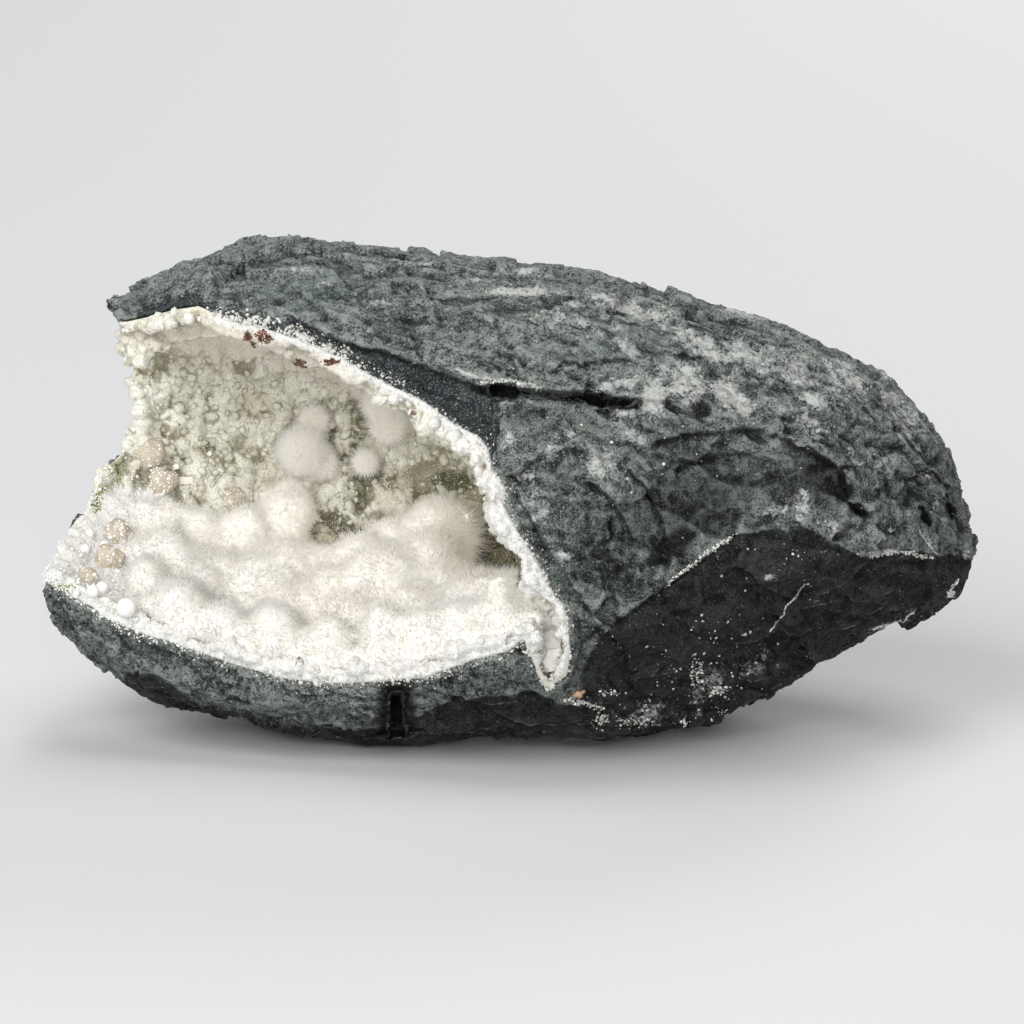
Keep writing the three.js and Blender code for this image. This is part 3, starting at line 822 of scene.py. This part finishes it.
def bare_wall(points):
    """True on the inside of the lining, away from the rock and the okenite."""
    inside = gap_to(rock_tree, points) > 1.5
    smooth = patches(to_face(points), SMOOTHER) > 0.4
    white = patch(to_face(points), *WHITENED) > 0.1
    return inside & ~smooth & ~white & (gap_to(okenite_tree, points) > 0.6)


spots, ways = scatter(lining, SPOTS_TRIED, rng, bare_wall)
across, up, _ = to_face(spots).T
finer = np.maximum(ramp(54 - up, -4, 6) * ramp(across + 60, 0, 14), ramp(-66 - across, 0, 6))
radii = (0.6 + 0.9 * rng.random(len(spots)) ** 2) * (1 - 0.5 * finer) * MM
chosen = spaced(spots, radii, 0.62)[:SPHERES]
spots, ways, radii = spots[chosen], ways[chosen], radii[chosen]
spheres = strew("druse_spheres", lump(2), spots - ways * radii[:, None] * 0.3, spin(len(spots), rng),
                radii[:, None] * (0.85 + 0.3 * rng.random((len(spots), 3))))
at = push(spheres, 0.34 * cloud(places(spheres) / MM, 0.8, 2))
face = to_face(at)
own = np.repeat(np.arange(len(spots)), len(at) // len(spots))
height = np.einsum("ij,ij->i", at - spots[own], ways[own]) / radii[own]
near_edge = 1 - ramp(behind_break(face), 0.3, 2.6)
paint(spheres, "rim", np.maximum(near_edge, ramp(-72 - face[:, 0], 0, 9)))
stain(spheres, face)
# Painted shade towards the foot of each sphere.
paint(spheres, "painted_crease_shade", 0.7 * (1 - ramp(height, -0.1, 0.7)))
finished(spheres, druse)

# The fine crystals on the spheres: eight-sided grains a few tenths of a millimetre across.
CRYSTALS = 7000
spots, ways = scatter(spheres, CRYSTALS, rng)
shape = bmesh.new()
bmesh.ops.create_uvsphere(shape, u_segments=4, v_segments=2, radius=1)
crystals = strew("druse_crystals", as_arrays(shape), spots, spin(CRYSTALS, rng),
                 (0.09 + 0.17 * rng.random(CRYSTALS) ** 2) * MM)
crystals.data.shade_flat()
glitter = Finish("druse_crystal", Roughness=0.22)
glitter.mottle(glitter.grain(2.5), rgb(0.62, 0.60, 0.44), rgb(0.88, 0.87, 0.78))
finished(crystals, glitter)


# -------------------------------- white crust
# The lining's broken edge crumbles into white chalky nubs. They sit along the whole mouth,
# thin at the top and thick at the right and the bottom, and a few have rolled onto the rock.
NUBS = 3500
CRUMBS = 2600
SUGAR = 1800                    # grains on the white left of the floor


def broken_edge(points):
    """True on the lining's broken edge."""
    drawn = to_face(points)
    at_break = behind_break(drawn) < 1.3 - 0.5 * ramp(drawn[:, 1], 50, 62)
    in_pocket = (patch(drawn, 9, 17, 8, 12) > 0) & (drawn[:, 2] > 26)
    return (at_break | in_pocket) & (gap_to(rock_tree, points) < 2.6)


def whitened(points):
    """True on the white left of the floor."""
    return patch(to_face(points), *WHITENED) > 0


def beside_lining(points):
    """True on the stone just outside the lining, at the front."""
    return (gap_to(lining_tree, points) < 3) & (behind_break(to_face(points)) < 2)


rng = np.random.default_rng(23)
lining_tree = surface(lining)
spots, _ = scatter(lining, 4 * NUBS, rng, broken_edge)
spots = spots[rng.random(len(spots)) < 0.15 + np.exp(-gap_to(rock_tree, spots) / 0.9)][:NUBS]
sugar, _ = scatter(lining, SUGAR, rng, whitened)
spots = np.concatenate([spots, sugar])
face = to_face(spots)
thick = 0.55 + 0.45 * ramp(60 - face[:, 1], 0, 20)
strayed = 0.35 * thick + 0.45 * ramp(face[:, 1], 72, 82)
spots = spots + rng.normal(size=spots.shape) * strayed[:, None] * MM
nub_size = (0.10 + 0.36 * rng.random(len(spots)) ** 2.5) * (0.4 + 0.6 * thick)
nub_size *= 1 + 0.7 * cloud(face, 4, 2, 5.0)
crumb_spots, _ = scatter(rock, 12 * CRUMBS, rng, beside_lining)
face = to_face(crumb_spots)
at_top = ramp(face[:, 1], 72, 82)
likely = np.exp(-gap_to(lining_tree, crumb_spots) / (0.7 + 0.9 * at_top)) * (0.6 + 0.4 * at_top)
likely *= 1 + 1.4 * cloud(face, 3, 2, 8.0)
chosen = np.flatnonzero(rng.random(len(likely)) < likely)[:CRUMBS]
crumb_size = (0.06 + 0.24 * rng.random(len(chosen)) ** 3) * (1 + 0.8 * at_top[chosen])
spots = np.concatenate([spots, crumb_spots[chosen]])
nub_size = np.concatenate([nub_size, crumb_size])
corners, triangles = lump(1)
crumbly = (corners * (1 + 0.28 * rng.normal(size=(len(corners), 1))), triangles)
nubs = strew("crust_nubs", crumbly, spots, spin(len(spots), rng),
             nub_size[:, None] * (0.75 + 0.5 * rng.random((len(spots), 3))) * MM)
chalk = Finish("chalk_crust", Roughness=0.8)
paint(nubs, "pale", ramp(-58 - to_face(places(nubs))[:, 0], 0, 8))
chalk.mottle(chalk.grain(1.2), rgb(0.49, 0.475, 0.42), rgb(0.66, 0.65, 0.615), 0.3, 0.6)
chalk.lay(chalk.read("pale"), rgb(0.80, 0.79, 0.76))
chalk.relief(0.1 * chalk.grain(0.3, 2))
finished(nubs, chalk)

# Moss has crept onto the crust's left edge, and iron has left rusty crystals at the top: x, y,
# half width and half height.
MOSS = [(-79.6, 56.8, 2.6, 2), (-82.4, 52.2, 1, 1.2), (-83.2, 49.4, 1.2, 1.6), (-89, 32.6, 2.6, 1.6)]
IRON = [
    (-51.6, 82.8, 0.7, 0.9), (-48.6, 83.4, 1.4, 0.8), (-42, 78.2, 1.6, 0.5), (-34.8, 78, 1.8, 0.4),
    (-71.4, 28, 1, 1.2)]


def clumps(name, ovals, each, size, finish):
    """Small lumps heaped in ovals on the lining."""
    drawn = [rng.normal(size=(each, 2)) * (wide / 2, high / 2) + (x, y) for x, y, wide, high in ovals]
    spots, _, _ = onto(lining_tree, np.concatenate(drawn))
    piece = strew(name, crumbly, spots, spin(len(spots), rng),
                  size * (0.5 + rng.random((len(spots), 3))) * MM)
    finished(piece, finish)


moss = Finish("moss", Roughness=0.9)
moss.mottle(moss.grain(1, 2), rgb(0.13, 0.15, 0.035), rgb(0.36, 0.38, 0.16))
clumps("moss", MOSS, 60, 0.2, moss)
iron = Finish("iron_crystals", Roughness=0.45)
iron.mottle(iron.grain(0.8, 2), rgb(0.035, 0.014, 0.009), rgb(0.27, 0.10, 0.035), 0.4, 0.6)
clumps("iron_crystals", IRON, 45, 0.26, iron)


# -------------------------------- okenite puffballs
# Balls of needle-thin white okenite fibres on the vug's floor, so close that they have grown
# into one drift. Each is a dense core that the fibres stand out of, and they fray at the edge.
CORE_VOXEL = 0.7 * MM


def soft_core(piece, rounding, rough, inset, cutter=None):
    """Rounds a piece of joined balls into a lumpy core, less what a cutter takes away."""
    if cutter:
        work(piece, "REMESH", mode="VOXEL", voxel_size=CORE_VOXEL)
        work(piece, "BOOLEAN", operation="DIFFERENCE", object=cutter)
    even_out(piece, CORE_VOXEL, rounding)
    drawn = places(piece) / MM
    lift = rough * cloud(drawn, 5, 3, 6.0) + 0.12 * cloud(drawn, 0.9, 2, 7.0) - inset
    # Stores the painted glow, which the material shows as emission.
    paint(piece, "painted_glow", painted_glow(push(piece, lift)))
    piece.data.shade_smooth()


def painted_glow(points):
    """Up to 1 deep in the vug: a painted glow for light scattered between the fibres."""
    return 0.4 + 0.6 * ramp(behind_break(to_face(points)), 14, 46)


# The okenite has a painted glow in its emission, stronger deep in the vug.
SOFT = {"Specular_IOR_Level": 0.1, "Sheen_Weight": 0.2, "Sheen_Roughness": 0.5, "Emission_Strength": 1}
GLOW_COLOUR = rgb(0.175, 0.165, 0.145)
okenite = Finish("okenite_core", Roughness=0.9, **SOFT)
okenite.mottle(okenite.grain(6), rgb(0.82, 0.80, 0.76), rgb(0.80, 0.765, 0.705), 0.4, 0.75)
okenite.relief(0.25 * okenite.grain(0.6, 3, 0.7))
fibre = Finish("okenite_fibre", Roughness=0.7, **SOFT)
fibre.mottle(fibre.grain(6), rgb(0.82, 0.805, 0.77), rgb(0.80, 0.77, 0.715), 0.4, 0.75)
fibre.lay(1 - fibre.read("tip"), rgb(0.81, 0.775, 0.715))
# Brownish fibres: partly their own colour, partly painted shade on the sides turned from the light.
fibre.lay(0.5 * fibre.read("brown_and_shade"), rgb(0.62, 0.52, 0.38))
# Painted glow: emission as strong as the stored painted glow.
for finish in (okenite, fibre):
    finish.set("Emission Color", finish.mix(finish.read("painted_glow"), rgb(0, 0, 0), GLOW_COLOUR))

shape = bmesh.new()
bmesh.ops.create_cone(shape, cap_ends=True, segments=3, radius1=1, radius2=0, depth=1)
bmesh.ops.triangulate(shape, faces=shape.faces)
bmesh.ops.translate(shape, verts=shape.verts, vec=(0, 0, 0.5))
bmesh.ops.remove_doubles(shape, verts=shape.verts, dist=1e-6)
bmesh.ops.recalc_face_normals(shape, faces=shape.faces)
shape.verts.index_update()
needle = as_arrays(shape)

# Where the fibres are brownish, partly their own colour and partly painted shade: the right
# sides of the two largest balls, turned from the light.
BROWN_AND_SHADE = [(-6.5, 42, 7, 9, 20, 1.2), (-37, 46, 5, 6, 0, 1), (-36, 32, 9, 7, 0, 0.4)]


def fuzz(name, spots, ways, lengths, spread, rng):
    """Fibres that stand out at these places, fraying by a spread."""
    ways = ways + spread * rng.normal(size=ways.shape)
    ways /= np.linalg.norm(ways, axis=1)[:, None]
    widths = 0.05 + 0.05 * rng.random(len(spots))
    piece = strew(name, needle, spots - ways * 0.2 * MM, along(ways, rng),
                  np.stack([widths, widths, lengths], 1) * MM)
    corners = needle[0]
    paint(piece, "tip", np.tile(corners[:, 2], len(spots)))
    # Stores where the fibres are brownish, partly as painted shade.
    paint(piece, "brown_and_shade", np.repeat(np.clip(patches(to_face(spots), BROWN_AND_SHADE), 0, 1), len(corners)))
    # Stores the painted glow for the fibres.
    paint(piece, "painted_glow", np.repeat(painted_glow(spots), len(corners)))
    finished(piece, fibre)


# Swells of the drift besides its balls, which even it out: x, y, z and radius.
SWELLS = [
    (5.7, 31.4, 26, 5), (7.4, 28.4, 27, 4.6), (1.6, 28, 27, 4.8), (-1.6, 26.4, 26, 5),
    (-5.6, 29.6, 17, 6.6), (-9, 27, 14, 7), (-2.6, 31.6, 21, 5.4), (2.8, 33, 24, 4.6),
    (-1.4, 33.4, 18, 4.8), (6.4, 33.4, 28, 3.8), (-31.3, 25.6, 5, 7.6), (-19.3, 27, 5, 8),
    (-49.3, 32.4, -4, 7.6), (-55.6, 32, -3, 6.4), (-72.8, 34.2, 3.4, 4.6), (-69.6, 39.6, -4.4, 5.4),
    (-65.6, 36.4, -3, 5), (-76, 39, -3.6, 3.8), (-62, 33, 1, 5), (-38, 36, -8, 5), (-29, 37.4, -9, 6.4),
    (-17, 37, -7, 7), (-65.7, 29, 12.6, 5.6), (-57.3, 25.6, 15.8, 4.8), (-46.5, 24, 18, 5.8),
    (-35.7, 22.6, 21.2, 5), (-24.3, 24, 23.6, 5.6), (-16, 24.4, 26, 5), (-9, 25.4, 27.4, 5.4),
    (-1, 27, 29.6, 5.4), (8.6, 30.2, 30, 3.4), (9.4, 27.4, 30, 3),
]
# Small puffs sit all along the drift's front edge, against the crust.
EDGE = np.array([(-68, 27), (-58, 22.4), (-46, 19.4), (-31, 17.4), (-19, 18.8), (-7, 21.6), (5, 25.4)])
EDGE_PUFFS = 34
drift = okenite_shape
drift.name = "okenite_drift"
rng = np.random.default_rng(37)
shape = bmesh.new()
shape.from_mesh(drift.data)
swells = list(SWELLS)
for x in np.linspace(EDGE[0][0], EDGE[-1][0], EDGE_PUFFS):
    radius = 2.4 + 1.4 * rng.random()
    y = np.interp(x, *EDGE.T) + 1.2 * rng.random()
    slope = break_out[:2] @ ((x, y) - BREAK[0][:2]) / break_out[2]
    swells.append((x, y, BREAK[0][2] - slope - 2.8 - 0.8 * rng.random(), radius))
for x, y, z, radius in swells:
    bmesh.ops.create_icosphere(shape, subdivisions=3, radius=radius * MM,
                               matrix=Matrix.Translation(from_face((x, y, z))))
shape.to_mesh(drift.data)
shape.free()
# Two gaps are left open in it, where the druse shows dark: behind the mouth's right edge, and
# between the puffs at the back. A puff on the left of that is left out too. Each cut is a box:
# x, y and z from and to.
GAPS = [
    ((-7.3, 14), (35.6, 64), (-40, 70)), ((-41, -33.6), (41.2, 46), (-40, -5)),
    ((-58, -46), (52.2, 66), (-40, 10))]
shape = bmesh.new()
for cut in GAPS:
    low, high = np.array(cut).T
    for vert in bmesh.ops.create_cube(shape, size=1)["verts"]:
        vert.co = from_face((low + high) / 2 + np.array(vert.co) * (high - low))
bmesh.ops.bevel(shape, geom=shape.edges, offset=2 * MM, offset_type="OFFSET", affect="EDGES",
                segments=3, profile=0.5, material=-1, clamp_overlap=True)
cutter = built("gap_cutter", shape)
soft_core(drift, 40, 0.6, 0.2, cutter)
bpy.data.objects.remove(cutter)


def in_the_open(points):
    """True where a surface isn't against the lining."""
    return gap_to(lining_tree, points) > 0.25


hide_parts("okenite_floor_mass")
finished(drift, okenite)

FIBRES = 31_000                  # in each of the drift's three parts
spots, ways = scatter(drift, 3 * FIBRES, rng, in_the_open)
order = np.argsort(spots[:, 0])
spots, ways = spots[order], ways[order]
face = to_face(spots)
usual = 1.15 + 2.6 * np.clip(patch(face, -8, 43, 10, 10), 0, 1) + 0.5 * cloud(face, 5, 2, 3.3)
varied = 0.75 + 1.35 * rng.random(len(spots)) ** 2 + 1.5 * (rng.random(len(spots)) > 0.985)
lengths = np.maximum(usual, 0.4) * varied
for part in range(3):
    own = slice(part * FIBRES, (part + 1) * FIBRES)
    fuzz(f"okenite_drift_fibres_{part + 1}", spots[own], ways[own], lengths[own], 0.4, rng)

# The balls on the back wall and under the roof stand by themselves, rounder and softer.
for node, fibres in (
        ("okenite_wall_cluster", 14_000), ("okenite_roof_puff", 8000), ("okenite_lone_puff", 4000)):
    ball = merged_copy(node, node + "_core")
    soft_core(ball, 8, 0.25, 1.1)
    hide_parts(node)
    finished(ball, okenite)
    spots, ways = scatter(ball, fibres, rng, in_the_open)
    fuzz(node + "_fibres", spots, ways, 1.0 + 2.6 * rng.random(fibres) ** 1.5, 0.55, rng)

# Short down covers the lining on the left of the floor and wherever the drift runs out on it.
DOWN = 22_000
drift_tree = surface(drift)


def downy(points):
    """True where down grows on the lining."""
    drawn = to_face(points)
    skirt = (gap_to(drift_tree, points) < 2.2) & (drawn[:, 1] < 34)
    by_pocket = patch(drawn, 8, 29, 5, 7) > 0
    in_gap = patch(drawn, -37.3, 43.4, 5, 3.6) > 0
    return by_pocket | in_gap | (skirt | whitened(points)) & (gap_to(rock_tree, points) > 1)


spots, ways = scatter(lining, DOWN, rng, downy)
fuzz("okenite_down", spots, ways, 0.3 + 0.8 * rng.random(DOWN) ** 2, 0.5, rng)


def foremost(trees, drawn):
    """Drops points onto whichever of some surfaces is nearest to the front."""
    spots, ways = np.zeros((2, len(drawn), 3))
    highest = np.full(len(drawn), -np.inf)
    for tree in trees:
        hit, way, met = onto(tree, drawn)
        rows = np.flatnonzero(met)
        nearer = hit @ outward > highest[rows]
        highest[rows[nearer]] = (hit @ outward)[nearer]
        spots[rows[nearer]], ways[rows[nearer]] = hit[nearer], way[nearer]
    met = highest > -np.inf
    return spots[met], ways[met], met


# Starbursts: loose sprays of longer needles on the druse beside the drift: x, y and length.
SPRAYS = [
    (-33.7, 42.8, 2.6), (-36.3, 55.4, 2), (-33.3, 56.8, 1.6), (-27, 49, 2), (-41, 47, 1.8),
    (-20, 47, 2.2), (-55, 41, 1.6)]
NEEDLES = 90                     # in each spray
starts, lengths = [], []
for x, y, length in SPRAYS:
    starts.append((x, y) + rng.normal(size=(NEEDLES, 2)) * 0.15)
    lengths.append(length * (0.5 + 0.7 * rng.random(NEEDLES)))
spots, ways, met = foremost((lining_tree, drift_tree), np.concatenate(starts))
fuzz("okenite_sprays", spots, ways + outward, np.concatenate(lengths)[met], 0.9, rng)

# A little dark dust has settled on the fibres.
DUST = 150
spots, ways = scatter(drift, DUST, rng, in_the_open)
dust = strew("dust", lump(1), spots + ways * (0.9 + 0.8 * rng.random((DUST, 1))) * MM,
             spin(DUST, rng), (0.05 + 0.07 * rng.random(DUST)) * MM)
soot = Finish("dark_dust", Roughness=0.9)
soot.shader.inputs["Base Color"].default_value = rgb(0.02, 0.017, 0.015)
finished(dust, soot)


# -------------------------------- buds, caps and blocks
# Small single crystals on the left of the floor: smooth white okenite buds, waxy tan caps
# peppered with white specks, and a few blocky white crystals.
pearl = Finish("okenite_bud", Roughness=0.55)
pearl.mottle(pearl.grain(1.5), rgb(0.92, 0.915, 0.9), rgb(0.84, 0.82, 0.76), high=0.7)
pearl.relief(0.08 * pearl.grain(0.4, 2))


def rounded(node, wide, deep, uneven):
    """A round body in a plain ball's place, wider and flatter by shares and a little uneven."""
    drawn = to_face(places(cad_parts[node]))
    low, high = drawn.min(axis=0), drawn.max(axis=0)
    radius = (high - low)[:2].max() / 2
    middle = np.array([*(low + high)[:2] / 2, high[2] - deep * radius])
    shape = bmesh.new()
    bmesh.ops.create_icosphere(shape, subdivisions=4, radius=1)
    piece = built(node + "_round", shape)
    at = places(piece)
    at *= 1 + uneven * cloud(at, 0.9, 2, middle[0])[:, None]
    move(piece, from_face(middle + at * radius * (wide, wide, deep)))
    piece.data.shade_smooth()
    return piece


for number in range(1, 7):
    bud = rounded(f"okenite_bud_{number}", 1, 1, 0.04)
    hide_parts(f"okenite_bud_{number}")
    finished(bud, pearl)

wax = Finish("gyrolite", Roughness=0.45)
wax.mottle(wax.grain(2.2), rgb(0.42, 0.355, 0.265), rgb(0.51, 0.445, 0.345))
pepper = wax.cells(wax.here, 0.75)
peppered = (1 - pepper.between(0.24, 0.34)) * wax.grain(2.2, 1).between(0.3, 0.45)
wax.lay(peppered, rgb(0.93, 0.93, 0.9))
wax.relief(0.08 * (1 - pepper.between(0.15, 0.4)))
caps = []
for number in range(1, 7):
    cap = rounded(f"gyrolite_cap_{number}", 1.25, 0.5, 0.35)
    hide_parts(f"gyrolite_cap_{number}")
    finished(cap, wax)
    caps.append(cap)

# White beads sit on the caps and around them.
BEADS = 520
middles = to_face([np.mean(places(cap), axis=0) for cap in caps])
rng = np.random.default_rng(61)
on_caps = middles[rng.integers(0, 6, BEADS)][:, :2] + rng.normal(size=(BEADS, 2)) * 1.9
around = rng.normal(size=(BEADS, 2)) * (9, 7) + (-72, 47)
sizes = np.concatenate([0.07 + 0.07 * rng.random(BEADS), 0.08 + 0.4 * rng.random(BEADS) ** 3])
spots, _, met = foremost([*map(surface, caps), lining_tree], np.concatenate([on_caps, around]))
beads = strew("white_beads", lump(1), spots, spin(len(spots), rng), sizes[met] * MM)
finished(beads, pearl)

block = Finish("apophyllite", Roughness=0.35)
block.mottle(block.grain(1.6), rgb(0.80, 0.78, 0.73), rgb(0.70, 0.65, 0.56), high=0.7)
block.relief(0.1 * block.grain(0.7, 2))
for node in [*(f"apophyllite_block_{number}" for number in range(1, 5)), "pocket_crystals"]:
    crystal = merged_copy(node, node + "_worn")
    shape = bmesh.new()
    shape.from_mesh(crystal.data)
    bmesh.ops.dissolve_limit(shape, angle_limit=math.radians(4), verts=shape.verts, edges=shape.edges)
    bmesh.ops.bevel(shape, geom=shape.edges, offset=0.12 * MM, offset_type="OFFSET", affect="EDGES",
                    segments=2, profile=0.5, material=-1, clamp_overlap=True)
    shape.to_mesh(crystal.data)
    shape.free()
    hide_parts(node)
    finished(crystal, block)


# -------------------------------- floor, light, camera
# A plain pale floor, a soft key light from the upper left with weaker ones from the front, the
# top and the back, and a long lens square to the broken face.
FRAME_MM = 204.8                 # what the picture's width spans at the nodule
AIM = (1.1, 48.0, 20.0)
shape = bmesh.new()
bmesh.ops.create_grid(shape, x_segments=1, y_segments=1, size=12)
floor = built("floor", shape)
paper = Finish("pale_floor", Roughness=0.9, Specular_IOR_Level=0.1)
paper.shader.inputs["Base Color"].default_value = rgb(0.64, 0.64, 0.65)
floor.data.materials.append(paper.material)

for name, place, size, power in (
        ("key", (-0.75, -1.0, 1.1), 1.1, 19),
        ("front_fill", (-0.1, -1.6, 0.42), 0.9, 13),
        ("top_fill", (0.2, 0.2, 1.5), 0.9, 8),
        ("back_fill", (0.6, 1.4, 0.8), 0.8, 12)):
    lamp = bpy.data.lights.new(name, "AREA")
    lamp.size, lamp.energy = size, power
    holder = linked(name, lamp)
    holder.location = place
    toward = Vector((0, 0, 0.05)) - Vector(place)
    holder.rotation_euler = toward.to_track_quat("-Z", "Y").to_euler()

world = bpy.data.worlds.new("studio")
world.use_nodes = True
sky = world.node_tree.nodes["Background"].inputs
sky["Color"].default_value = rgb(0.80, 0.81, 0.83)
sky["Strength"].default_value = 0.32
bpy.context.scene.world = world

camera = bpy.data.cameras.new("camera")
camera.lens = 350
camera.clip_end = 100
distance = camera.lens / camera.sensor_width * FRAME_MM
viewer = linked("camera", camera)
viewer.location = from_face((AIM[0], AIM[1], AIM[2] + distance))
viewer.rotation_euler = (math.pi / 2 - LEAN, 0, 0)
bpy.context.scene.camera = viewer
bpy.context.scene.view_settings.view_transform = "Standard"
